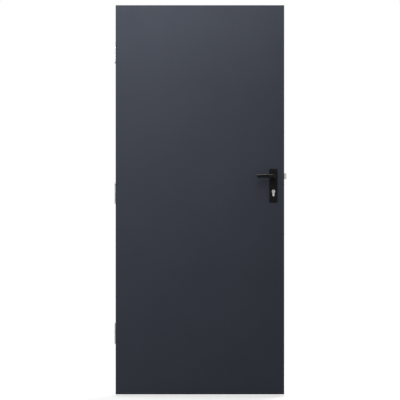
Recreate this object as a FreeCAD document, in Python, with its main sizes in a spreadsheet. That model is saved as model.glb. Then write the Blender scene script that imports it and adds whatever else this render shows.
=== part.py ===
import FreeCAD, Part
import math
import os
import re
import Sketcher

# Steel utility door: a flush sheet-steel leaf on three butt hinges, with a mortise lock and lever handles.
# X runs from the hinge edge to the lock edge, Y from the push side to the pull side, Z up.
# The origin lies on the face of the middle hinge's frame flap, at the middle of the leaf's thickness.

doc = FreeCAD.newDocument("SteelUtilityDoor")
sheet = doc.addObject("Spreadsheet::Sheet", "Sizes")

sizes = [
    # How far a cutter runs past the faces that it cuts
    ("past", 1.0),
    # Leaf
    ("leaf_width", 860.0),
    ("leaf_height", 1985.0),
    ("leaf_thickness", 40.0),
    ("skin_thickness", 1.0),
    ("skin_bend", 2.5),
    ("edge_seam", 0.6),
    ("stile_thickness", 2.0),
    ("stile_depth", 32.0),
    ("channel_thickness", 1.5),
    ("channel_depth", 30.0),
    ("pocket_clearance", 5.0),
    # Hinges
    ("hinge_from_top", 241.0),
    ("hinge_from_bottom", 309.0),
    ("flap_thickness", 3.0),
    ("flap_gap", 2.0),
    ("flap_height", 102.0),
    ("flap_reach", 35.0),
    ("flap_corner", 4.0),
    ("knuckle_radius", 7.0),
    ("knuckle_middle", 34.0),
    ("knuckle_gap", 0.5),
    ("knuckle_stand_off", 1.0),
    ("pin_radius", 4.0),
    ("pin_head_radius", 6.0),
    ("pin_head_height", 4.0),
    ("running_clearance", 0.05),
    ("flap_hole_radius", 2.75),
    ("flap_hole_across", 14.0),
    ("flap_hole_along", 76.0),
    ("flap_hole_edge", 6.0),
    # Lock
    ("backset", 55.0),
    ("spindle_height", 1113.0),
    ("lock_spacing", 78.0),
    ("case_above", 52.0),
    ("case_height", 165.0),
    ("case_width", 15.0),
    ("case_behind", 32.0),
    ("forend_height", 235.0),
    ("forend_width", 20.0),
    ("forend_thickness", 3.0),
    ("forend_screw_edge", 9.0),
    ("latch_height", 30.0),
    ("latch_width", 11.5),
    ("latch_throw", 12.0),
    ("latch_inside", 28.0),
    ("latch_nose", 3.0),
    ("latch_land", 1.5),
    ("bolt_drop", 42.0),
    ("bolt_height", 32.0),
    ("bolt_inside", 30.0),
    ("bolt_clearance", 0.3),
    ("follower_radius", 10.0),
    ("screw_hole_radius", 2.5),
    # Profile cylinder
    ("cylinder_length", 60.0),
    ("cylinder_radius", 8.5),
    ("cylinder_leg", 10.0),
    ("cylinder_height", 33.0),
    ("cylinder_clearance", 0.3),
    ("plug_radius", 6.5),
    ("plug_length", 24.0),
    ("keyway_width", 1.6),
    ("keyway_height", 8.5),
    ("keyway_depth", 20.0),
    ("fixing_screw_drop", 15.0),
    # Lever handles
    ("plate_width", 41.0),
    ("plate_height", 169.0),
    ("plate_above", 37.0),
    ("plate_thickness", 8.0),
    ("plate_corner", 5.0),
    ("plate_edge", 2.0),
    ("plate_screw_edge", 9.0),
    ("plate_post_radius", 4.0),
    ("plate_post_length", 12.0),
    ("post_clearance", 0.5),
    ("spindle_side", 8.0),
    ("spindle_end", 46.0),
    ("collar_radius", 13.0),
    ("collar_height", 2.5),
    ("neck_radius", 8.5),
    ("neck_clearance", 3.0),
    ("grip_length", 89.0),
    ("grip_reach", 48.0),
    ("grip_height", 18.0),
    ("grip_depth", 13.0),
    ("grip_corner", 10.0),
    ("grip_bevel", 3.0),
    ("tip_radius", 20.0),
]
for row, (alias, value) in enumerate(sizes, start=1):
    sheet.set(f"A{row}", alias)
    sheet.set(f"B{row}", str(value))
    sheet.setAlias(f"B{row}", alias)
doc.recompute()

# Places that several pieces share, worked out from the sizes.
places = {
    "hinge_spacing": "leaf_height - hinge_from_top - hinge_from_bottom",
    "axis_x": "flap_thickness + flap_gap / 2",
    "leaf_left": "flap_thickness + flap_gap",
    "leaf_right": "leaf_left + leaf_width",
    "half": "leaf_thickness / 2",
    "axis_y": "half + knuckle_radius + knuckle_stand_off",
    "leaf_bottom": "hinge_from_top + hinge_spacing / 2 - leaf_height",
    "leaf_top": "hinge_from_top + hinge_spacing / 2",
    "spindle_x": "leaf_right - backset",
    "spindle_z": "leaf_bottom + spindle_height",
    "cylinder_z": "spindle_z - lock_spacing",
    "plate_top": "spindle_z + plate_above",
    "plate_bottom": "plate_top - plate_height",
    "upper_screw_z": "plate_top - plate_screw_edge",
    "lower_screw_z": "plate_bottom + plate_screw_edge",
    "case_top": "spindle_z + case_above",
    "case_bottom": "case_top - case_height",
    "forend_middle": "case_top - case_height / 2",
    "forend_back": "leaf_right - forend_thickness",
    "case_left": "spindle_x - case_behind",
    "bolt_z": "spindle_z - bolt_drop",
    "flap_front": "axis_y - flap_reach",
    "hole_middle_y": "flap_front + flap_hole_edge + flap_hole_across / 2",
}
names_of_sizes = {alias for alias, value in sizes}


def formula(text):
    """Write each size or place that a formula names as a reference to its sheet."""
    def reference(word):
        name = word.group()
        if name in names_of_sizes:
            return "Sizes." + name
        return "Places." + name if name in places else name
    return re.sub(r"[a-z_]+", reference, text)


places_sheet = doc.addObject("Spreadsheet::Sheet", "Places")
for row, (alias, text) in enumerate(places.items(), start=1):
    places_sheet.set(f"A{row}", alias)
    places_sheet.setAlias(f"B{row}", alias)
    places_sheet.set(f"B{row}", "=" + formula(text))
    doc.recompute()


def size(name):
    """The present value of a size or place."""
    return getattr(sheet if name in names_of_sizes else places_sheet, name)


def place(thing, x="0", y="0", z="0"):
    for axis, text in (("x", x), ("y", y), ("z", z)):
        thing.setExpression(f"Placement.Base.{axis}", formula(text))


def new_body(label):
    body = doc.addObject("PartDesign::Body", label)
    body.Label = label
    return body


def new_sketch(body, role, offset="0"):
    """A sketch on one of the body's origin planes, moved along the plane's normal."""
    sketch = body.newObject("Sketcher::SketchObject", body.Label + "_sketch")
    plane = next(feature for feature in body.Origin.OriginFeatures if feature.Role == role)
    sketch.AttachmentSupport = [(plane, "")]
    sketch.MapMode = "FlatFace"
    sketch.setExpression("AttachmentOffset.Base.z", formula(offset))
    return sketch


def value_of(sketch, text):
    found = sketch.evalExpression(formula(text))
    return float(getattr(found, "Value", found))


def hold(sketch, kind, geometry, point, text):
    """Fix one coordinate of a point, measured from the sketch's origin."""
    number = value_of(sketch, text)
    index = sketch.addConstraint(Sketcher.Constraint(kind, -1, 1, geometry, point, number))
    sketch.setExpression(f"Constraints[{index}]", formula(text))


def add_outline(sketch, points, arcs=None):
    """A closed outline through points given as pairs of formulas. arcs maps a point's number to the
    centre and radius of the arc that runs from that point to the next."""
    arcs = arcs or {}
    first = sketch.GeometryCount
    corners = [FreeCAD.Vector(value_of(sketch, x), value_of(sketch, y), 0) for x, y in points]
    count = len(corners)
    ends = []
    for index, corner in enumerate(corners):
        following = corners[(index + 1) % count]
        if index not in arcs:
            sketch.addGeometry(Part.LineSegment(corner, following))
            ends.append((1, 2))
            continue
        x, y, radius = (value_of(sketch, text) for text in arcs[index])
        angles = [math.atan2(point.y - y, point.x - x) for point in (corner, following)]
        forwards = (angles[1] - angles[0]) % (2 * math.pi) < math.pi
        circle = Part.Circle(FreeCAD.Vector(x, y, 0), FreeCAD.Vector(0, 0, 1), radius)
        sketch.addGeometry(Part.ArcOfCircle(circle, *(angles if forwards else reversed(angles))))
        ends.append((1, 2) if forwards else (2, 1))
        fixed = sketch.addConstraint(Sketcher.Constraint("Radius", first + index, radius))
        sketch.setExpression(f"Constraints[{fixed}]", formula(arcs[index][2]))
    for index, (x, y) in enumerate(points):
        following = (index + 1) % count
        sketch.addConstraint(Sketcher.Constraint(
            "Coincident", first + index, ends[index][1], first + following, ends[following][0]))
        hold(sketch, "DistanceX", first + index, ends[index][0], x)
        hold(sketch, "DistanceY", first + index, ends[index][0], y)


def add_rectangle(sketch, left, right, low, high):
    add_outline(sketch, [(left, low), (right, low), (right, high), (left, high)])


def add_circle(sketch, x, y, radius):
    centre = FreeCAD.Vector(value_of(sketch, x), value_of(sketch, y), 0)
    circle = sketch.addGeometry(Part.Circle(centre, FreeCAD.Vector(0, 0, 1), value_of(sketch, radius)))
    hold(sketch, "DistanceX", circle, 3, x)
    hold(sketch, "DistanceY", circle, 3, y)
    index = sketch.addConstraint(Sketcher.Constraint("Radius", circle, value_of(sketch, radius)))
    sketch.setExpression(f"Constraints[{index}]", formula(radius))


def add_feature(body, kind, sketch, length, backwards=False):
    """Pad or pocket a sketch, and check that a pocket removes material."""
    before = body.Shape.Volume if kind == "Pocket" else None
    feature = body.newObject(f"PartDesign::{kind}", f"{body.Label}_{kind.lower()}")
    feature.Profile = sketch
    feature.setExpression("Length", formula(length))
    feature.Reversed = backwards
    doc.recompute()
    if before is not None and body.Shape.Volume > before - 1e-3:
        raise RuntimeError(f"{body.Label}: a pocket removed nothing")


def round_edges(body, radius, chosen, kind="Fillet"):
    """Round or bevel the edges that a test picks."""
    base = body.Tip
    edges = [f"Edge{n}" for n, edge in enumerate(base.Shape.Edges, start=1) if chosen(edge)]
    feature = body.newObject(f"PartDesign::{kind}", f"{body.Label}_{kind.lower()}")
    feature.Base = (base, edges)
    feature.setExpression("Radius" if kind == "Fillet" else "Size", formula(radius))
    doc.recompute()


def runs_along(edge, axis):
    """Whether a straight edge runs along one of the axes."""
    if edge.Curve.TypeId != "Part::GeomLine":
        return False
    direction = edge.Curve.Direction
    return abs(abs(getattr(direction, axis)) - 1) < 1e-6


def lies_at(edge, axis, number):
    """Whether all of an edge lies at one coordinate."""
    box = edge.BoundBox
    low, high = getattr(box, axis + "Min"), getattr(box, axis + "Max")
    return abs(low - number) < 1e-3 and abs(high - number) < 1e-3


def box(label, x, y, z, length, width, height):
    thing = doc.addObject("Part::Box", label)
    thing.Label = label
    for name, text in (("Length", length), ("Width", width), ("Height", height)):
        thing.setExpression(name, formula(text))
    place(thing, x, y, z)
    return thing


def cylinder(label, radius, height, turn, x, y, z):
    """A cylinder from a point along +Z, or along the way that its turn leads."""
    thing = doc.addObject("Part::Cylinder", label)
    thing.Label = label
    thing.setExpression("Radius", formula(radius))
    thing.setExpression("Height", formula(height))
    thing.Placement.Rotation = turn
    place(thing, x, y, z)
    return thing


def combine(kind, label, first, others):
    """Cut pieces from a first one, or fuse them with it."""
    if kind == "Cut" and len(others) > 1:
        others = [combine("Fuse", label + "_tools", others[0], others[1:])]
    if kind == "Fuse":
        thing = doc.addObject("Part::MultiFuse", label)
        thing.Shapes = [first] + others
    else:
        thing = doc.addObject("Part::Cut", label)
        thing.Base = first
        thing.Tool = others[0]
    thing.Label = label
    return thing


along_x = FreeCAD.Rotation(FreeCAD.Vector(0, 1, 0), 90)
along_y = FreeCAD.Rotation(FreeCAD.Vector(1, 0, 0), -90)
parts = {}

hinge_places = {
    "top": "leaf_top - hinge_from_top",
    "middle": "leaf_top - hinge_from_top - hinge_spacing / 2",
    "bottom": "leaf_top - hinge_from_top - hinge_spacing",
}
flap_hole_places = [
    (f"hole_middle_y + {across} * flap_hole_across / 2", f"{along} * flap_hole_along / 2")
    for across in (-1, 1) for along in (-1, 1)]


def make_profile(label, radius, leg, height, y, length):
    """A solid of the euro profile, a barrel over a leg with a round foot, from y towards +Y."""
    foot_z = f"cylinder_z + ({radius}) - ({height}) + ({leg}) / 2"
    web = box(label + "_leg", f"spindle_x - ({leg}) / 2", y, foot_z,
              leg, length, f"({height}) - ({radius}) - ({leg}) / 2")
    barrel = cylinder(label + "_barrel", radius, length, along_y, "spindle_x", y, "cylinder_z")
    foot = cylinder(label + "_foot", f"({leg}) / 2", length, along_y, "spindle_x", y, foot_z)
    return combine("Fuse", label, barrel, [web, foot])


def profile_cutter(label, y, length):
    return make_profile(label, "cylinder_radius + cylinder_clearance",
                        "cylinder_leg + 2 * cylinder_clearance",
                        "cylinder_height + 2 * cylinder_clearance", y, length)


def make_skin(label, side):
    """A face sheet with its long edges folded back to the seam. side is -1 at the push side."""
    face = f"{side} * half"
    inner = f"{side} * (half - skin_thickness)"
    seam = f"{side} * edge_seam / 2"
    sheet_body = new_body(label + "_sheet")
    outline = new_sketch(sheet_body, "XY_Plane")
    add_outline(outline, [
        ("leaf_left", face), ("leaf_right", face), ("leaf_right", seam),
        ("leaf_right - skin_thickness", seam), ("leaf_right - skin_thickness", inner),
        ("leaf_left + skin_thickness", inner), ("leaf_left + skin_thickness", seam),
        ("leaf_left", seam)])
    add_feature(sheet_body, "Pad", outline, "leaf_height")
    outer_y = side * size("half")
    inner_y = side * (size("half") - size("skin_thickness"))
    round_edges(sheet_body, "skin_bend",
                lambda edge: runs_along(edge, "z") and lies_at(edge, "Y", outer_y))
    round_edges(sheet_body, "skin_bend - skin_thickness",
                lambda edge: runs_along(edge, "z") and lies_at(edge, "Y", inner_y))
    place(sheet_body, z="leaf_bottom")

    cutters = []
    for where, z in hinge_places.items():
        cutters.append(box(f"{label}_{where}_recess", "leaf_left - past", "flap_front",
                           f"{z} - flap_height / 2", "past + flap_thickness", "half - flap_front + past",
                           "flap_height"))
    forend_cut = box(label + "_forend_cut", "forend_back", "-forend_width / 2",
                     "forend_middle - forend_height / 2",
                     "forend_thickness + past", "forend_width", "forend_height")
    cutters.append(forend_cut)
    start = "-half - past" if side < 0 else "half - skin_thickness - past"
    through = "skin_thickness + 2 * past"
    cutters.append(profile_cutter(label + "_profile_cut", start, through))
    cutters.append(cylinder(label + "_neck_hole", "neck_radius + neck_clearance", through, along_y,
                            "spindle_x", start, "spindle_z"))
    for end in ("upper", "lower"):
        cutters.append(cylinder(f"{label}_{end}_post_hole", "plate_post_radius + post_clearance", through,
                                along_y, "spindle_x", start, f"{end}_screw_z"))
    parts[label] = combine("Cut", label, sheet_body, cutters)


def make_stile(label, web_left, mouth, opening=None):
    """A C profile behind one long edge: its web against the hardware, its flanges against the faces."""
    body = new_body(label + "_profile" if opening else label)
    outline = new_sketch(body, "XY_Plane")
    flange = "half - skin_thickness"
    inner = f"{flange} - stile_thickness"
    web_right = f"{web_left} + {mouth} * stile_thickness"
    tip = f"{web_left} + {mouth} * stile_depth"
    add_outline(outline, [
        (web_left, f"-({flange})"), (tip, f"-({flange})"), (tip, f"-({inner})"), (web_right, f"-({inner})"),
        (web_right, inner), (tip, inner), (tip, flange), (web_left, flange)])
    add_feature(body, "Pad", outline, "leaf_height - 2 * channel_depth")
    place(body, z="leaf_bottom + channel_depth")
    parts[label] = combine("Cut", label, body, [opening]) if opening else body


def make_channel(label, web_z, way):
    """A U channel that closes one end of the leaf, its web flush with the end."""
    body = new_body(label)
    outline = new_sketch(body, "YZ_Plane", "leaf_left + skin_bend")
    flange = "half - skin_thickness"
    inner = f"{flange} - channel_thickness"
    web_inner = f"{web_z} + {way} * channel_thickness"
    tip = f"{web_z} + {way} * channel_depth"
    add_outline(outline, [
        (f"-({flange})", web_z), (flange, web_z), (flange, tip), (inner, tip),
        (inner, web_inner), (f"-({inner})", web_inner), (f"-({inner})", tip), (f"-({flange})", tip)])
    add_feature(body, "Pad", outline, "leaf_width - 2 * skin_bend")
    parts[label] = body


def make_core():
    """The board between the profiles, with a pocket for the lock."""
    board = box("core_board", "leaf_left + flap_thickness + stile_depth", "-(half - skin_thickness)",
                "leaf_bottom + channel_depth", "leaf_width - 2 * stile_depth - 2 * flap_thickness",
                "2 * (half - skin_thickness)", "leaf_height - 2 * channel_depth")
    pocket = box("core_pocket", "case_left - pocket_clearance", "-half", "plate_bottom - pocket_clearance",
                 "backset + case_behind + pocket_clearance", "leaf_thickness",
                 "case_top - plate_bottom + 2 * pocket_clearance")
    parts["core"] = combine("Cut", "core", board, [pocket])


for skin, side in (("front_skin", -1), ("back_skin", 1)):
    make_skin(skin, side)
make_stile("hinge_stile", "leaf_left + flap_thickness", 1)
case_opening = box("lock_stile_opening", "forend_back - stile_thickness - past",
                   "-case_width / 2 - bolt_clearance", "case_bottom - bolt_clearance",
                   "stile_thickness + 2 * past", "case_width + 2 * bolt_clearance",
                   "case_height + 2 * bolt_clearance")
make_stile("lock_stile", "forend_back", -1, case_opening)
make_channel("top_channel", "leaf_top", -1)
make_channel("bottom_channel", "leaf_bottom", 1)
make_core()


def make_lock_case():
    """The mortise lock's case, open where the bolts, the follower and the cylinder go."""
    case = box("case_block", "case_left", "-case_width / 2", "case_bottom",
               "backset + case_behind - forend_thickness", "case_width", "case_height")
    start = "-case_width / 2 - past"
    through = "case_width + 2 * past"
    latch_way = box("latch_way", "leaf_right - latch_inside - latch_throw - bolt_clearance",
                    "-latch_width / 2 - bolt_clearance", "spindle_z - latch_height / 2 - bolt_clearance",
                    "latch_inside + latch_throw + bolt_clearance + past",
                    "latch_width + 2 * bolt_clearance", "latch_height + 2 * bolt_clearance")
    bolt_way = box("bolt_way", "leaf_right - bolt_inside", "-latch_width / 2",
                   "bolt_z - bolt_height / 2", "bolt_inside + past", "latch_width", "bolt_height")
    follower_hole = cylinder("follower_hole", "follower_radius + running_clearance", through, along_y,
                             "spindle_x", start, "spindle_z")
    post_hole = cylinder("case_post_hole", "plate_post_radius + post_clearance", through, along_y,
                         "spindle_x", start, "upper_screw_z")
    parts["lock_case"] = combine("Cut", "lock_case", case, [
        latch_way, bolt_way, follower_hole, post_hole,
        profile_cutter("case_profile_cut", start, through)])


def make_forend():
    """The lock's face plate, flush in the leaf's edge, with windows for the bolts."""
    body = new_body("forend_plate")
    outline = new_sketch(body, "YZ_Plane", "forend_back")
    add_rectangle(outline, "-forend_width / 2", "forend_width / 2",
                  "forend_middle - forend_height / 2", "forend_middle + forend_height / 2")
    add_feature(body, "Pad", outline, "forend_thickness")
    windows = new_sketch(body, "YZ_Plane", "forend_back")
    add_rectangle(windows, "-latch_width / 2 - bolt_clearance", "latch_width / 2 + bolt_clearance",
                  "spindle_z - latch_height / 2 - bolt_clearance",
                  "spindle_z + latch_height / 2 + bolt_clearance")
    add_rectangle(windows, "-latch_width / 2", "latch_width / 2",
                  "bolt_z - bolt_height / 2", "bolt_z + bolt_height / 2")
    add_feature(body, "Pocket", windows, "forend_thickness", backwards=True)
    screw_places = {
        "upper": "forend_middle + forend_height / 2 - forend_screw_edge",
        "lower": "forend_middle - forend_height / 2 + forend_screw_edge",
        "middle": "cylinder_z - fixing_screw_drop"}
    holes = [cylinder(f"forend_{end}_hole", "screw_hole_radius", "forend_thickness + 2 * past", along_x,
                      "forend_back - past", "0", z) for end, z in screw_places.items()]
    parts["forend"] = combine("Cut", "forend", body, holes)


make_lock_case()
make_forend()


def make_latch():
    """The sprung latch bolt, bevelled on the side that meets the frame first."""
    body = new_body("latch_bolt")
    outline = new_sketch(body, "XY_Plane", "spindle_z - latch_height / 2")
    add_outline(outline, [
        ("leaf_right - latch_inside", "-latch_width / 2"),
        ("leaf_right + latch_throw", "-latch_width / 2"),
        ("leaf_right + latch_throw", "latch_nose - latch_width / 2"),
        ("leaf_right + latch_land", "latch_width / 2"),
        ("leaf_right - latch_inside", "latch_width / 2")])
    add_feature(body, "Pad", outline, "latch_height")
    parts["latch_bolt"] = body


make_latch()
parts["dead_bolt"] = box("dead_bolt", "leaf_right - bolt_inside", "-latch_width / 2",
                         "bolt_z - bolt_height / 2", "bolt_inside", "latch_width", "bolt_height")


def make_profile_cylinder():
    """The euro profile cylinder with a plug and keyway at each end."""
    half_length = "cylinder_length / 2"
    whole = make_profile("cylinder_block", "cylinder_radius", "cylinder_leg", "cylinder_height",
                         f"-{half_length}", "cylinder_length")
    bores = [
        cylinder("front_bore", "plug_radius", "plug_length", along_y,
                 "spindle_x", f"-{half_length}", "cylinder_z"),
        cylinder("back_bore", "plug_radius", "plug_length", along_y,
                 "spindle_x", f"{half_length} - plug_length", "cylinder_z")]
    parts["cylinder_body"] = combine("Cut", "cylinder_body", whole, bores)
    ends = (("front", f"-{half_length}", f"-{half_length} - past"),
            ("back", f"{half_length} - plug_length", f"{half_length} - keyway_depth"))
    for side, plug_y, keyway_y in ends:
        plug = cylinder(f"{side}_plug_round", "plug_radius", "plug_length", along_y,
                        "spindle_x", plug_y, "cylinder_z")
        keyway = box(f"{side}_keyway", "spindle_x - keyway_width / 2", keyway_y,
                     "cylinder_z - keyway_height / 2", "keyway_width", "keyway_depth + past",
                     "keyway_height")
        label = f"cylinder_plug_{side}"
        parts[label] = combine("Cut", label, plug, [keyway])


make_profile_cylinder()


def make_plate(side, way):
    """A short backplate with rounded corners, screwed from the pull side."""
    label = f"plate_{side}"
    body = new_body(label + "_blank")
    leaf_face = "-half" if way < 0 else "half + plate_thickness"
    outline = new_sketch(body, "XZ_Plane", f"-({leaf_face})")
    add_rectangle(outline, "spindle_x - plate_width / 2", "spindle_x + plate_width / 2",
                  "plate_bottom", "plate_top")
    add_feature(body, "Pad", outline, "plate_thickness")
    round_edges(body, "plate_corner", lambda edge: runs_along(edge, "y"))
    outer = way * (size("half") + size("plate_thickness"))
    round_edges(body, "plate_edge", lambda edge: lies_at(edge, "Y", outer), "Chamfer")
    start = "-half - plate_thickness - past" if way < 0 else "half - past"
    through = "plate_thickness + 2 * past"
    cutters = [profile_cutter(label + "_profile_cut", start, through),
               cylinder(label + "_neck_hole", "neck_radius + running_clearance", through, along_y,
                        "spindle_x", start, "spindle_z")]
    posts = []
    for end in ("upper", "lower"):
        z = f"{end}_screw_z"
        if way < 0:
            posts.append(cylinder(f"{label}_{end}_post", "plate_post_radius", "plate_post_length", along_y,
                                  "spindle_x", "-half", z))
        else:
            cutters.append(cylinder(f"{label}_{end}_hole", "screw_hole_radius", through, along_y,
                                    "spindle_x", start, z))
    blank = combine("Fuse", label + "_with_posts", body, posts) if posts else body
    parts[label] = combine("Cut", label, blank, cutters)


make_plate("front", -1)
make_plate("back", 1)


def make_collar(side, way):
    """The bearing ring round a lever's neck, standing on the plate."""
    y = "-half - plate_thickness - collar_height" if way < 0 else "half + plate_thickness"
    label = f"collar_{side}"
    ring = cylinder(label + "_disc", "collar_radius", "collar_height", along_y, "spindle_x", y, "spindle_z")
    hole = cylinder(label + "_hole", "neck_radius + running_clearance", "collar_height", along_y,
                    "spindle_x", y, "spindle_z")
    parts[label] = combine("Cut", label, ring, [hole])


def make_lever():
    """A flat lever with bevelled edges. Its round neck leaves the plate and meets the grip behind the
    rounded corner. The grip's top line is straight, and the tip curves up to it from below."""
    body = new_body("lever_grip")
    root = "half + plate_thickness / 2"
    front = "half + plate_thickness + grip_reach"
    tip_x = "spindle_x - grip_length"
    right = "spindle_x + grip_height / 2"
    outline = new_sketch(body, "XY_Plane", "spindle_z - grip_height / 2")
    add_outline(outline, [
        (tip_x, f"-({front})"), (f"{right} - grip_corner", f"-({front})"),
        (right, f"grip_corner - ({front})"), (right, f"grip_depth - ({front})"),
        (tip_x, f"grip_depth - ({front})")],
        arcs={1: (f"{right} - grip_corner", f"grip_corner - ({front})", "grip_corner")})
    add_feature(body, "Pad", outline, "grip_height")

    tip = new_sketch(body, "XZ_Plane", f"{front} + past")
    beyond = f"{tip_x} - past"
    top = "spindle_z + grip_height / 2"
    add_outline(tip, [
        (tip_x, top), (f"{tip_x} + tip_radius", f"{top} - tip_radius"), (beyond, f"{top} - tip_radius"),
        (beyond, top)],
        arcs={0: (f"{tip_x} + tip_radius", top, "tip_radius")})
    add_feature(body, "Pocket", tip, "grip_depth + 2 * past")
    front_y = -(size("half") + size("plate_thickness") + size("grip_reach"))
    round_edges(body, "grip_bevel",
                lambda edge: lies_at(edge, "Y", front_y) and runs_along(edge, "x"), "Chamfer")

    neck = cylinder("lever_neck", "neck_radius", f"{front} - grip_depth - ({root}) + past", along_y,
                    "spindle_x", f"grip_depth - ({front}) - past", "spindle_z")
    solid = combine("Fuse", "lever_solid", body, [neck])
    socket = box("lever_socket", "spindle_x - spindle_side / 2", "-spindle_end - past",
                 "spindle_z - spindle_side / 2", "spindle_side", f"spindle_end + past - ({root})",
                 "spindle_side")
    parts["lever_front"] = combine("Cut", "lever_front", solid, [socket])
    mirrored = doc.addObject("Part::Mirroring", "lever_back")
    mirrored.Source = parts["lever_front"]
    mirrored.Normal = FreeCAD.Vector(0, 1, 0)
    parts["lever_back"] = mirrored


for side, way in (("front", -1), ("back", 1)):
    make_collar(side, way)
make_lever()
parts["spindle"] = box("spindle", "spindle_x - spindle_side / 2", "-spindle_end",
                       "spindle_z - spindle_side / 2", "spindle_side", "2 * spindle_end", "spindle_side")
follower_round = cylinder("follower_round", "follower_radius", "case_width", along_y,
                          "spindle_x", "-case_width / 2", "spindle_z")
follower_square = box("follower_square", "spindle_x - spindle_side / 2", "-case_width / 2 - past",
                      "spindle_z - spindle_side / 2", "spindle_side", "case_width + 2 * past",
                      "spindle_side")
parts["lock_follower"] = combine("Cut", "lock_follower", follower_round, [follower_square])


def make_flap(label, z, left, knuckles, bore, holes):
    """One half of a butt hinge: a flap with rolled knuckles round the pin's axis."""
    body = new_body(label + "_strap")
    outline = new_sketch(body, "YZ_Plane", left)
    strap_end = "axis_y - knuckle_radius - knuckle_stand_off"
    add_rectangle(outline, "flap_front", strap_end, "-flap_height / 2", "flap_height / 2")
    add_feature(body, "Pad", outline, "flap_thickness")
    front = size("flap_front")
    round_edges(body, "flap_corner", lambda edge: runs_along(edge, "x") and lies_at(edge, "Y", front))
    place(body, z=z)
    rolled = [body]
    cutters = []
    for index, (low, length) in enumerate(knuckles):
        rolled.append(box(f"{label}_tongue_{index}", left, strap_end, f"{z} + {low}",
                          "flap_thickness", f"axis_y - ({strap_end})", length))
        rolled.append(cylinder(f"{label}_knuckle_{index}", "knuckle_radius", length, FreeCAD.Rotation(),
                               "axis_x", "axis_y", f"{z} + {low}"))
        cutters.append(cylinder(f"{label}_bore_{index}", bore, length, FreeCAD.Rotation(),
                                "axis_x", "axis_y", f"{z} + {low}"))
    for index, (y, dz) in enumerate(holes):
        cutters.append(cylinder(f"{label}_hole_{index}", "flap_hole_radius", "flap_thickness + 2 * past",
                                along_x, f"{left} - past", y, f"{z} + {dz}"))
    solid = combine("Fuse", label + "_solid", rolled[0], rolled[1:])
    parts[label] = combine("Cut", label, solid, cutters)


outer_knuckle = "(flap_height - knuckle_middle) / 2 - knuckle_gap"
frame_knuckles = [("-flap_height / 2", outer_knuckle),
                  ("knuckle_middle / 2 + knuckle_gap", outer_knuckle)]
door_knuckles = [("-knuckle_middle / 2", "knuckle_middle")]


def make_pin(label, z):
    """A hinge pin turned in one piece with its lower button; the upper button is pressed on."""
    shank = cylinder(label + "_shank", "pin_radius", "flap_height", FreeCAD.Rotation(),
                     "axis_x", "axis_y", f"{z} - flap_height / 2")
    buttons = [
        cylinder(label + "_upper_button", "pin_head_radius", "pin_head_height", FreeCAD.Rotation(),
                 "axis_x", "axis_y", f"{z} + flap_height / 2"),
        cylinder(label + "_lower_button", "pin_head_radius", "pin_head_height", FreeCAD.Rotation(),
                 "axis_x", "axis_y", f"{z} - flap_height / 2 - pin_head_height")]
    parts[label] = combine("Fuse", label, shank, buttons)


for where, z in hinge_places.items():
    make_flap(f"hinge_{where}_frame_flap", z, "0", frame_knuckles, "pin_radius", flap_hole_places)
    make_flap(f"hinge_{where}_door_flap", z, "leaf_left", door_knuckles,
              "pin_radius + running_clearance", [])
    make_pin(f"hinge_{where}_pin", z)

doc.recompute()
for thing in doc.Objects:
    if "Invalid" in thing.State or "Error" in thing.State:
        raise RuntimeError(f"{thing.Label} failed: {thing.State}")
os.makedirs("parts", exist_ok=True)
for label, thing in parts.items():
    if thing.Shape.isNull() or not thing.Shape.isValid():
        raise RuntimeError(f"{label} has no valid shape")
    thing.Label = label
for label, thing in parts.items():
    thing.Shape.exportStep(f"parts/{label}.step")
print(len(parts), "parts written")
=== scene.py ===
import math

import bmesh
import bpy
from mathutils import Matrix, Vector


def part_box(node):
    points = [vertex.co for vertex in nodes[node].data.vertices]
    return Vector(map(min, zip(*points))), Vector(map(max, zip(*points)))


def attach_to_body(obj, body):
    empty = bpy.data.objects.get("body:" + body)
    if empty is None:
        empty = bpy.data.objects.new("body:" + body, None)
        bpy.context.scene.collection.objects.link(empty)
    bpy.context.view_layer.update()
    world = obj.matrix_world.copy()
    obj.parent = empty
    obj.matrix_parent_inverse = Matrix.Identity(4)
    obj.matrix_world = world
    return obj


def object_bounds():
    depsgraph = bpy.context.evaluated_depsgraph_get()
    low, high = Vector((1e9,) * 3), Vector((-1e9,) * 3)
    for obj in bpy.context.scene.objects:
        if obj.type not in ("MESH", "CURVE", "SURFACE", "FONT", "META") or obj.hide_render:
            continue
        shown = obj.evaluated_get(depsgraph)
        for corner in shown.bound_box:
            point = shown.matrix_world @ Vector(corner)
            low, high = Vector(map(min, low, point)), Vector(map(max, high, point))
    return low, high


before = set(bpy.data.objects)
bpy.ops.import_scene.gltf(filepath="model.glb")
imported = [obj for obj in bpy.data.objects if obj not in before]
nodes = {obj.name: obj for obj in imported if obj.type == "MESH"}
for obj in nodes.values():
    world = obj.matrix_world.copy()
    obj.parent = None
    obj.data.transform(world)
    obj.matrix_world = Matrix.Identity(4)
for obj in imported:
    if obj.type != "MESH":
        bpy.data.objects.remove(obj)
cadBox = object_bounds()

hingePlaces = ("top", "middle", "bottom")
print("frame loaded:", len(nodes), "pieces")


# A material starts as one shader, and gets its texture from small helpers.

noiseSpan = (0.3, 0.7)  # nearly all values of a noise texture lie in this range


def newMaterial(name, colour, metallic=0.0, roughness=0.5, specular=0.5):
    material = bpy.data.materials.new(name)
    material.use_nodes = True
    shader = material.node_tree.nodes["Principled BSDF"]
    shader.inputs["Base Color"].default_value = (*colour, 1)
    shader.inputs["Metallic"].default_value = metallic
    shader.inputs["Roughness"].default_value = roughness
    shader.inputs["Specular IOR Level"].default_value = specular
    return material, material.node_tree, shader


def addNode(tree, kind, **values):
    node = tree.nodes.new(kind)
    for key, value in values.items():
        if key in node.inputs:
            node.inputs[key].default_value = value
        else:
            setattr(node, key, value)
    return node


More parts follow.
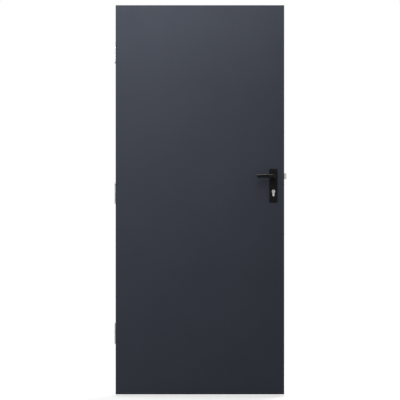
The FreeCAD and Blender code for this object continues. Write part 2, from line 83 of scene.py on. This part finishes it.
def objectPoint(tree, stretch=(1, 1, 1)):
    coordinates = addNode(tree, "ShaderNodeTexCoord")
    mapping = addNode(tree, "ShaderNodeMapping", Scale=stretch)
    tree.links.new(coordinates.outputs["Object"], mapping.inputs["Vector"])
    return mapping.outputs["Vector"]


def addNoise(tree, point, scale, detail=2.0, roughness=0.5):
    noise = addNode(tree, "ShaderNodeTexNoise", Scale=scale, Detail=detail, Roughness=roughness)
    tree.links.new(point, noise.inputs["Vector"])
    return noise.outputs["Fac"]


def addRange(tree, value, low, high, span=noiseSpan):
    ranged = addNode(tree, "ShaderNodeMapRange")
    for name, number in (("From Min", span[0]), ("From Max", span[1]), ("To Min", low), ("To Max", high)):
        ranged.inputs[name].default_value = number
    tree.links.new(value, ranged.inputs["Value"])
    return ranged.outputs["Result"]


def addMix(tree, factor, first, second):
    mix = addNode(tree, "ShaderNodeMix", data_type="RGBA")
    tree.links.new(factor, mix.inputs["Factor"])
    for name, colour in (("A", first), ("B", second)):
        next(i for i in mix.inputs if i.name == name and i.type == "RGBA").default_value = (*colour, 1)
    return next(out for out in mix.outputs if out.type == "RGBA")


def addBump(tree, shader, height, strength, distance, below=None):
    bump = addNode(tree, "ShaderNodeBump", Strength=strength, Distance=distance)
    tree.links.new(height, bump.inputs["Height"])
    if below:
        tree.links.new(below, bump.inputs["Normal"])
    tree.links.new(bump.outputs["Normal"], shader.inputs["Normal"])
    return bump.outputs["Normal"]


def lighter(colour, times):
    return tuple(min(1.0, channel * times) for channel in colour)


# Powder coat of the leaf: dark blue grey, matt to satin, with a fine orange peel.

leafPaintValues = {
    "colour": (0.0354, 0.0399, 0.0526),
    "tone": {"scale": 3.0, "detail": 3.0},
    "toneSpread": 0.045,
    "grain": {"scale": 55.0, "detail": 4.0, "roughness": 0.7},
    "grainSpread": 0.03,
    "sheen": {"scale": 14.0, "detail": 4.0},
    "roughness": (0.46, 0.54),
    "specular": 0.07,
    "peel": {"scale": 420.0},
    "peelStrength": 0.35,
    "peelHeight": 0.00006,
    "waves": {"scale": 2.2, "detail": 1.0},
    "wavesStrength": 0.25,
    "wavesHeight": 0.00025,
}


def makeLeafPaint(values):
    material, tree, shader = newMaterial("leafPaint", values["colour"], specular=values["specular"])
    point = objectPoint(tree)
    spread = values["toneSpread"]
    tone = addMix(tree, addRange(tree, addNoise(tree, point, **values["tone"]), 0, 1),
                  lighter(values["colour"], 1 - spread), lighter(values["colour"], 1 + spread))
    grain = addRange(tree, addNoise(tree, point, **values["grain"]),
                     1 - values["grainSpread"], 1 + values["grainSpread"])
    grained = addNode(tree, "ShaderNodeVectorMath", operation="SCALE")
    tree.links.new(tone, grained.inputs[0])
    tree.links.new(grain, grained.inputs["Scale"])
    tree.links.new(grained.outputs[0], shader.inputs["Base Color"])
    sheen = addRange(tree, addNoise(tree, point, **values["sheen"]), *values["roughness"])
    tree.links.new(sheen, shader.inputs["Roughness"])
    waves = addBump(tree, shader, addNoise(tree, point, **values["waves"]), values["wavesStrength"],
                    values["wavesHeight"])
    addBump(tree, shader, addNoise(tree, point, **values["peel"]), values["peelStrength"],
            values["peelHeight"], waves)
    return material


# Black coats: satin on the levers, matt on the plates, and dull plastic for the bearing rings.

blackCoatValues = {
    "leverBlack": {"colour": (0.0015, 0.0015, 0.0018), "roughness": (0.28, 0.38), "specular": 0.10,
                   "peelScale": 900.0, "peelHeight": 0.00004},
    "plateBlack": {"colour": (0.0080, 0.0080, 0.0088), "roughness": (0.50, 0.62), "specular": 0.03,
                   "peelScale": 1100.0, "peelHeight": 0.00006},
    "collarPlastic": {"colour": (0.0050, 0.0050, 0.0050), "roughness": (0.55, 0.66), "specular": 0.05,
                      "peelScale": 1500.0, "peelHeight": 0.00008},
}
blackTextureValues = {
    "sheen": {"scale": 60.0, "detail": 3.0},
    "tone": {"scale": 25.0},
    "toneSpread": 1.5,
    "peelDetail": 1.0,
    "peelStrength": 0.2,
}


def makeBlackCoat(name, values, texture):
    material, tree, shader = newMaterial(name, values["colour"], specular=values["specular"])
    point = objectPoint(tree)
    sheen = addRange(tree, addNoise(tree, point, **texture["sheen"]), *values["roughness"])
    tree.links.new(sheen, shader.inputs["Roughness"])
    colour = addMix(tree, addNoise(tree, point, **texture["tone"]), values["colour"],
                    lighter(values["colour"], texture["toneSpread"]))
    tree.links.new(colour, shader.inputs["Base Color"])
    peel = addNoise(tree, point, values["peelScale"], texture["peelDetail"])
    addBump(tree, shader, peel, texture["peelStrength"], values["peelHeight"])
    return material


# Brushed metals: long fine scratches along one way, over a slow change of tone.

brushedValues = {
    "forendSteel": {"colour": (0.36, 0.36, 0.37), "roughness": (0.28, 0.42), "grain": (500, 500, 12)},
    "boltSteel": {"colour": (0.52, 0.51, 0.49), "roughness": (0.24, 0.34), "grain": (260, 260, 24)},
    "hingeSteel": {"colour": (0.62, 0.63, 0.64), "roughness": (0.32, 0.42), "grain": (400, 400, 5)},
    "screwSteel": {"colour": (0.27, 0.27, 0.28), "roughness": (0.24, 0.38), "grain": (900, 900, 900)},
    "cylinderNickel": {"colour": (0.43, 0.43, 0.41), "roughness": (0.24, 0.36), "grain": (700, 20, 700)},
    "plugNickel": {"colour": (0.42, 0.41, 0.38), "roughness": (0.20, 0.32), "grain": (300, 300, 300)},
}
scratchValues = {
    "scratches": {"scale": 1.0, "detail": 3.0, "roughness": 0.6},
    "strength": 0.25,
    "height": 0.00006,
    "cloud": {"scale": 30.0, "detail": 3.0},
    "toneRange": (0.88, 1.1),
}


def makeBrushed(name, values, scratch):
    material, tree, shader = newMaterial(name, values["colour"], metallic=1.0)
    scratches = addNoise(tree, objectPoint(tree, values["grain"]), **scratch["scratches"])
    tree.links.new(addRange(tree, scratches, *values["roughness"]), shader.inputs["Roughness"])
    cloud = addNoise(tree, objectPoint(tree), **scratch["cloud"])
    dull, bright = (lighter(values["colour"], times) for times in scratch["toneRange"])
    tree.links.new(addMix(tree, cloud, dull, bright), shader.inputs["Base Color"])
    addBump(tree, shader, scratches, scratch["strength"], scratch["height"])
    return material


# Galvanised sheet of the lock case: zinc crystals in patches of grey.

zincValues = {
    "colour": (0.50, 0.52, 0.54),
    "crystalScale": 90.0,
    "toneRange": (0.8, 1.12),
    "roughness": (0.34, 0.52),
    "crystalStrength": 0.3,
    "crystalHeight": 0.00005,
}


def makeZinc(values):
    material, tree, shader = newMaterial("zincSheet", values["colour"], metallic=1.0)
    crystals = addNode(tree, "ShaderNodeTexVoronoi", Scale=values["crystalScale"])
    tree.links.new(objectPoint(tree), crystals.inputs["Vector"])
    patch = addNode(tree, "ShaderNodeSeparateColor")
    tree.links.new(crystals.outputs["Color"], patch.inputs["Color"])
    dull, bright = (lighter(values["colour"], times) for times in values["toneRange"])
    tree.links.new(addMix(tree, patch.outputs[0], dull, bright), shader.inputs["Base Color"])
    tree.links.new(addRange(tree, patch.outputs[1], *values["roughness"], span=(0, 1)),
                   shader.inputs["Roughness"])
    addBump(tree, shader, crystals.outputs["Distance"], values["crystalStrength"], values["crystalHeight"])
    return material


# Fibrous board of the core.

boardValues = {
    "colour": (0.42, 0.34, 0.22),
    "stretch": (160, 30, 160),
    "fibres": {"scale": 1.0, "detail": 4.0, "roughness": 0.7},
    "toneRange": (0.75, 1.15),
    "roughness": (0.75, 0.95),
    "fibreStrength": 0.5,
    "fibreHeight": 0.0003,
}


def makeBoard(values):
    material, tree, shader = newMaterial("coreBoard", values["colour"])
    fibres = addNoise(tree, objectPoint(tree, values["stretch"]), **values["fibres"])
    dull, bright = (lighter(values["colour"], times) for times in values["toneRange"])
    tree.links.new(addMix(tree, addRange(tree, fibres, 0, 1), dull, bright), shader.inputs["Base Color"])
    tree.links.new(addRange(tree, fibres, *values["roughness"]), shader.inputs["Roughness"])
    addBump(tree, shader, fibres, values["fibreStrength"], values["fibreHeight"])
    return material


brushed = {name: makeBrushed(name, values, scratchValues) for name, values in brushedValues.items()}
leafPaint = makeLeafPaint(leafPaintValues)
blackCoats = {name: makeBlackCoat(name, values, blackTextureValues)
              for name, values in blackCoatValues.items()}
zincSheet = makeZinc(zincValues)
coreBoard = makeBoard(boardValues)
finishes = [
    (leafPaint, ["front_skin", "back_skin", "top_channel", "bottom_channel", "hinge_stile", "lock_stile"]),
    (blackCoats["leverBlack"], ["lever_front", "lever_back"]),
    (blackCoats["plateBlack"], ["plate_front", "plate_back"]),
    (blackCoats["collarPlastic"], ["collar_front", "collar_back"]),
    (brushed["forendSteel"], ["forend"]),
    (brushed["boltSteel"], ["latch_bolt", "dead_bolt", "spindle", "lock_follower"]),
    (brushed["hingeSteel"], [f"hinge_{where}_{piece}" for where in hingePlaces
                             for piece in ("frame_flap", "door_flap", "pin")]),
    (brushed["cylinderNickel"], ["cylinder_body"]),
    (brushed["plugNickel"], ["cylinder_plug_front", "cylinder_plug_back"]),
    (zincSheet, ["lock_case"]),
    (coreBoard, ["core"]),
]
for material, names in finishes:
    for name in names:
        nodes[name].data.materials.clear()
        nodes[name].data.materials.append(material)
print("finishes on the frame's pieces")


# Screw heads: one head is modelled, and Geometry Nodes set it out at each screw's place.

headValues = {
    "sides": 28,
    "bevel": 0.45,  # a share of the rise, as sunk is
    "sunk": 0.4,
    "crossReach": 0.62,  # shares of the head's radius
    "crossHalfWidth": 0.16,
    "socketRadius": 0.6,
    "recessTaper": 0.72,  # the recess's floor as a share of its mouth
}


def crossOutline(reach, halfWidth):
    corners = [(reach, halfWidth), (halfWidth, halfWidth), (halfWidth, reach)]
    outline = []
    for quarter in range(4):
        outline += corners
        corners = [(-y, x) for x, y in corners]
    return outline


def hexagonOutline(radius):
    angles = [math.radians(60 * side) for side in range(6)]
    return [(math.cos(angle) * radius, math.sin(angle) * radius) for angle in angles]


recessShapes = {
    "cross": crossOutline(headValues["crossReach"], headValues["crossHalfWidth"]),
    "socket": hexagonOutline(headValues["socketRadius"]),
}


def makeHead(name, radius, rise, recess, depth):
    # The head looks along +Z and stands on z = 0, with its lower ring sunk below and a recess in its top.
    mesh = bmesh.new()
    edge = rise * headValues["bevel"]
    taper = headValues["recessTaper"]

    def ring(width, z):
        angles = [2 * math.pi * side / headValues["sides"] for side in range(headValues["sides"])]
        return [mesh.verts.new((width * math.cos(angle), width * math.sin(angle), z)) for angle in angles]

    def joinRings(lower, upper):
        for side in range(len(lower)):
            following = (side + 1) % len(lower)
            mesh.faces.new((lower[side], lower[following], upper[following], upper[side]))

    under = ring(radius, -headValues["sunk"] * rise)
    rim = ring(radius, rise - edge)
    top = ring(radius - edge, rise)
    joinRings(under, rim)
    joinRings(rim, top)
    mesh.faces.new(list(reversed(under)))
    mouth = [mesh.verts.new((x * radius, y * radius, rise)) for x, y in recessShapes[recess]]
    floor = [mesh.verts.new((x * radius * taper, y * radius * taper, rise - depth))
             for x, y in recessShapes[recess]]
    edges = []
    for loop in (top, mouth):
        for index, vert in enumerate(loop):
            following = loop[(index + 1) % len(loop)]
            edges.append(mesh.edges.get((vert, following)) or mesh.edges.new((vert, following)))
    bmesh.ops.triangle_fill(mesh, edges=edges, use_beauty=True, normal=(0, 0, 1))
    joinRings(floor, mouth)
    mesh.faces.new(floor)
    bmesh.ops.recalc_face_normals(mesh, faces=mesh.faces)
    data = bpy.data.meshes.new(name)
    mesh.to_mesh(data)
    mesh.free()
    head = bpy.data.objects.new(name, data)
    bpy.context.scene.collection.objects.link(head)
    return head


def makeSpreadTree():
    tree = bpy.data.node_groups.new("screwSpread", "GeometryNodeTree")
    tree.interface.new_socket("Places", in_out="INPUT", socket_type="NodeSocketGeometry")
    for name, kind in (("Head", "Object"), ("Facing", "Vector"), ("Turn Seed", "Int"),
                       ("Finish", "Material")):
        tree.interface.new_socket(name, in_out="INPUT", socket_type="NodeSocket" + kind)
    tree.interface.new_socket("Screws", in_out="OUTPUT", socket_type="NodeSocketGeometry")
    given = addNode(tree, "NodeGroupInput")
    result = addNode(tree, "NodeGroupOutput")
    points = addNode(tree, "GeometryNodeMeshToPoints")
    source = addNode(tree, "GeometryNodeObjectInfo")
    source.inputs["As Instance"].default_value = True
    setOut = addNode(tree, "GeometryNodeInstanceOnPoints")
    chance = addNode(tree, "FunctionNodeRandomValue", data_type="FLOAT")
    spin = addNode(tree, "ShaderNodeCombineXYZ")
    turned = addNode(tree, "GeometryNodeRotateInstances")
    real = addNode(tree, "GeometryNodeRealizeInstances")
    finish = addNode(tree, "GeometryNodeSetMaterial")
    numbers = [socket for socket in chance.inputs if socket.type == "VALUE"]
    numbers[0].default_value = 0.0
    numbers[1].default_value = 2 * math.pi
    angle = next(socket for socket in chance.outputs if socket.type == "VALUE")
    for start, end in (
            (given.outputs["Places"], points.inputs["Mesh"]),
            (given.outputs["Head"], source.inputs["Object"]),
            (points.outputs[0], setOut.inputs["Points"]),
            (source.outputs["Geometry"], setOut.inputs["Instance"]),
            (given.outputs["Facing"], setOut.inputs["Rotation"]),
            (given.outputs["Turn Seed"], chance.inputs["Seed"]),
            (angle, spin.inputs["Z"]),
            (setOut.outputs[0], turned.inputs["Instances"]),
            (spin.outputs[0], turned.inputs["Rotation"]),
            (turned.outputs[0], real.inputs["Geometry"]),
            (real.outputs[0], finish.inputs["Geometry"]),
            (given.outputs["Finish"], finish.inputs["Material"]),
            (finish.outputs[0], result.inputs["Screws"])):
        tree.links.new(start, end)
    return tree


facingTurns = {"-X": (0, -math.pi / 2, 0), "+X": (0, math.pi / 2, 0), "+Y": (-math.pi / 2, 0, 0),
               "-Z": (math.pi, 0, 0)}


def spreadScrews(name, tree, head, places, facing, seed, material):
    data = bpy.data.meshes.new(name + "Places")
    data.from_pydata([Vector(spot) for spot in places], [], [])
    carrier = bpy.data.objects.new(name + "Places", data)
    bpy.context.scene.collection.objects.link(carrier)
    modifier = carrier.modifiers.new("spread", "NODES")
    modifier.node_group = tree
    inputs = {item.name: item.identifier for item in tree.interface.items_tree if item.in_out == "INPUT"}
    modifier[inputs["Head"]] = head
    modifier[inputs["Facing"]] = facingTurns[facing]
    modifier[inputs["Turn Seed"]] = seed
    modifier[inputs["Finish"]] = material
    graph = bpy.context.evaluated_depsgraph_get()
    graph.update()
    plain = bpy.data.meshes.new_from_object(carrier.evaluated_get(graph), depsgraph=graph)
    carrier.modifiers.remove(modifier)
    bpy.data.objects.remove(carrier)
    plain.name = name
    screws = bpy.data.objects.new(name, plain)
    bpy.context.scene.collection.objects.link(screws)
    return screws


def attach(piece, body):
    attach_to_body(piece, body)


screwValues = {
    "hingeHead": {"radius": 0.0044, "rise": 0.0003, "recess": "cross", "depth": 0.0012},
    "forendHead": {"radius": 0.0039, "rise": 0.0003, "recess": "cross", "depth": 0.0011},
    "plateHead": {"radius": 0.0040, "rise": 0.0016, "recess": "cross", "depth": 0.0012},
    "grubHead": {"radius": 0.0026, "rise": 0.0003, "recess": "socket", "depth": 0.0012},
    "hingeRows": (-0.001, 0.013),
    "hingeReach": 0.038,
    "forendEdge": 0.009,
    "fixingDrop": 0.0235,
    "plateEdge": 0.009,
    "grubFromPlate": 0.013,
    "neckRadius": 0.0085,
    "seeds": {"hinges": 1, "forend": 5, "plate": 8, "grubs": 3},  # the hinges' seeds count up from theirs
}


def makeScrews(values):
    tree = makeSpreadTree()
    heads = {name: makeHead(name, **values[name])
             for name in ("hingeHead", "forendHead", "plateHead", "grubHead")}
    steel = brushed["screwSteel"]
    seeds = values["seeds"]
    for seed, where in enumerate(hingePlaces, start=seeds["hinges"]):
        low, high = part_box(f"hinge_{where}_door_flap")
        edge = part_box("front_skin")[0][0]
        middle = (low[2] + high[2]) / 2
        spots = [(edge, y, middle + way * values["hingeReach"])
                 for y in values["hingeRows"] for way in (-1, 1)]
        screws = spreadScrews(f"hingeScrews_{where}", tree, heads["hingeHead"], spots, "-X", seed, steel)
        attach(screws, "leaf")
    low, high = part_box("forend")
    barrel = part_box("cylinder_body")
    spots = [(high[0], 0, high[2] - values["forendEdge"]), (high[0], 0, low[2] + values["forendEdge"]),
             (high[0], 0, barrel[1][2] - values["fixingDrop"])]
    screws = spreadScrews("forendScrews", tree, heads["forendHead"], spots, "+X", seeds["forend"], steel)
    attach(screws, "leaf")
    low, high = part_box("plate_back")
    middle = (low[0] + high[0]) / 2
    spots = [(middle, high[1], high[2] - values["plateEdge"]),
             (middle, high[1], low[2] + values["plateEdge"])]
    screws = spreadScrews("plateScrews", tree, heads["plateHead"], spots, "+Y", seeds["plate"], steel)
    attach(screws, "leaf")
    low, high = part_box("spindle")
    underside = (low[2] + high[2]) / 2 - values["neckRadius"]
    spots = []
    for side, way in (("front", -1), ("back", 1)):
        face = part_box(f"plate_{side}")[0 if way < 0 else 1][1]
        spots.append((middle, face + way * values["grubFromPlate"], underside))
    screws = spreadScrews("leverGrubScrews", tree, heads["grubHead"], spots, "-Z", seeds["grubs"], steel)
    attach(screws, "lever_set")
    for head in heads.values():
        bpy.data.objects.remove(head)
    print("screws set out")


makeScrews(screwValues)


# A fine lip round each plug, where it turns in the profile cylinder.

plugLipValues = {"radius": 0.0065, "width": 0.00035, "rise": 0.00025, "sides": 56}


def makePlugLips(values):
    for side, way in (("front", -1), ("back", 1)):
        low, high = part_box(f"cylinder_plug_{side}")
        face = low[1] if way < 0 else high[1]
        centre = Vector(((low[0] + high[0]) / 2, face, (low[2] + high[2]) / 2))
        mesh = bmesh.new()
        profile = [(-values["width"], -values["rise"]), (values["width"], -values["rise"]),
                   (values["width"] / 2, values["rise"]), (-values["width"] / 2, values["rise"])]
        rings = []
        for step in range(values["sides"]):
            angle = 2 * math.pi * step / values["sides"]
            rings.append([mesh.verts.new(centre + Vector((
                (values["radius"] + out) * math.cos(angle), way * along,
                (values["radius"] + out) * math.sin(angle)))) for out, along in profile])
        for step, ring in enumerate(rings):
            following = rings[(step + 1) % len(rings)]
            for corner in range(len(profile)):
                across = (corner + 1) % len(profile)
                mesh.faces.new((ring[corner], ring[across], following[across], following[corner]))
        bmesh.ops.recalc_face_normals(mesh, faces=mesh.faces)
        data = bpy.data.meshes.new(f"plugLip_{side}")
        mesh.to_mesh(data)
        mesh.free()
        data.materials.append(brushed["screwSteel"])
        lip = bpy.data.objects.new(f"plugLip_{side}", data)
        bpy.context.scene.collection.objects.link(lip)
        attach(lip, "leaf")
    print("plug lips made")


makePlugLips(plugLipValues)


# Stage: a pale floor, a white background, soft lights and the camera.

def seenRays(tree):
    # Camera, mirrored and see-through rays meet the plain white of the background.
    path = addNode(tree, "ShaderNodeLightPath")
    total = path.outputs["Is Camera Ray"]
    for name in ("Is Glossy Ray", "Is Transmission Ray"):
        added = addNode(tree, "ShaderNodeMath", operation="MAXIMUM")
        tree.links.new(total, added.inputs[0])
        tree.links.new(path.outputs[name], added.inputs[1])
        total = added.outputs[0]
    return total


floorValues = {
    "drop": 0.008,
    "size": 7.0,
    "colour": (0.3, 0.3, 0.3),
    "seenColour": (0.9, 0.9, 0.9),
    "roughness": 0.9,
    "whiteShare": (0.5, 1.0),
    "whiteReach": (1.0, 3.2),
}


def makeFloor(values):
    low, high = cadBox
    bpy.ops.mesh.primitive_plane_add(size=values["size"])
    floor = bpy.context.object
    floor.name = "studioFloor"
    foot = Vector(((low[0] + high[0]) / 2, 0, low[2] - values["drop"]))
    floor.data.transform(Matrix.Translation(foot))
    material, tree, shader = newMaterial("studioFloor", values["colour"], roughness=values["roughness"],
                                         specular=0.0)
    seen = seenRays(tree)
    tree.links.new(addMix(tree, seen, values["colour"], values["seenColour"]), shader.inputs["Base Color"])
    # The white glow is weaker round the leaf, so the floor shows its shadow there and no rim further out.
    away = addNode(tree, "ShaderNodeVectorMath", operation="DISTANCE")
    tree.links.new(objectPoint(tree), away.inputs[0])
    away.inputs[1].default_value = foot
    share = addNode(tree, "ShaderNodeMath", operation="MULTIPLY")
    tree.links.new(seen, share.inputs[0])
    tree.links.new(addRange(tree, away.outputs["Value"], *values["whiteShare"], span=values["whiteReach"]),
                   share.inputs[1])
    glow = addNode(tree, "ShaderNodeEmission", Strength=1.0)
    mixed = addNode(tree, "ShaderNodeMixShader")
    tree.links.new(share.outputs[0], mixed.inputs["Fac"])
    tree.links.new(shader.outputs[0], mixed.inputs[1])
    tree.links.new(glow.outputs[0], mixed.inputs[2])
    tree.links.new(mixed.outputs[0], tree.nodes["Material Output"].inputs["Surface"])
    floor.data.materials.append(material)


worldValues = {"light": 0.565, "shown": 1.0}  # strength as a light on the door, and as it is seen


def makeWorld(values):
    world = bpy.data.worlds.new("studio")
    world.use_nodes = True
    tree = world.node_tree
    tree.nodes.clear()
    plain = addNode(tree, "ShaderNodeBackground", Strength=values["light"])
    white = addNode(tree, "ShaderNodeBackground", Strength=values["shown"])
    for background in (plain, white):
        background.inputs["Color"].default_value = (1, 1, 1, 1)
    mixed = addNode(tree, "ShaderNodeMixShader")
    tree.links.new(seenRays(tree), mixed.inputs["Fac"])
    tree.links.new(plain.outputs[0], mixed.inputs[1])
    tree.links.new(white.outputs[0], mixed.inputs[2])
    out = addNode(tree, "ShaderNodeOutputWorld")
    tree.links.new(mixed.outputs[0], out.inputs["Surface"])
    bpy.context.scene.world = world


lightValues = {
    "keyLight": {"place": (0.3, -2.6, 2.35), "target": (-1.82, -1.03, 2.86), "size": 3.0, "power": 222.0},
    "backLight": {"place": (2.0, 2.4, 2.2), "target": (0.43, 0, 0), "size": 1.4, "power": 90.0},
    "leverTopLight": {"place": (0.78, -0.05, 2.3), "target": (0.78, -0.05, 0), "size": 0.3, "power": 12.0},
    "lockEdgeLight": {"place": (2.9, -0.05, 0.75), "target": (0.8, 0, 0.1), "size": 1.6, "power": 12.0},
    "hingeEdgeLight": {"place": (-2.4, 0.5, 2.5), "target": (0.43, 0, 0), "size": 1.6, "power": 24.0},
}


def makeLight(name, place, target, size, power):
    data = bpy.data.lights.new(name, "AREA")
    data.shape = "DISK"
    data.size = size
    data.energy = power
    lamp = bpy.data.objects.new(name, data)
    bpy.context.scene.collection.objects.link(lamp)
    lamp.location = place
    lamp.rotation_euler = (Vector(target) - Vector(place)).to_track_quat("-Z", "Y").to_euler()


# The leaf's face has its centre at faceCentrePixel of the photo, counted from the top left.

cameraValues = {
    "distance": 12.0,
    "metresPerPixel": 0.0051,
    "frameWidth": 400,
    "faceCentrePixel": (199.91, 199.79),
    "sensorWidth": 36,
    "viewDepth": 100,
}


def makeCamera(values):
    low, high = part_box("front_skin")
    across = values["metresPerPixel"] * values["frameWidth"]
    offset = [values["metresPerPixel"] * (values["frameWidth"] / 2 - pixel)
              for pixel in values["faceCentrePixel"]]
    data = bpy.data.cameras.new("camera")
    data.sensor_width = values["sensorWidth"]
    data.lens = data.sensor_width * values["distance"] / across
    data.clip_end = values["viewDepth"]
    camera = bpy.data.objects.new("camera", data)
    bpy.context.scene.collection.objects.link(camera)
    camera.location = ((low[0] + high[0]) / 2 + offset[0], low[1] - values["distance"],
                       (low[2] + high[2]) / 2 - offset[1])
    camera.rotation_euler = (math.pi / 2, 0, 0)
    bpy.context.scene.camera = camera


makeFloor(floorValues)
makeWorld(worldValues)
for name, lamp in lightValues.items():
    makeLight(name, **lamp)
makeCamera(cameraValues)
bpy.context.scene.view_settings.view_transform = "Standard"
print("stage set")
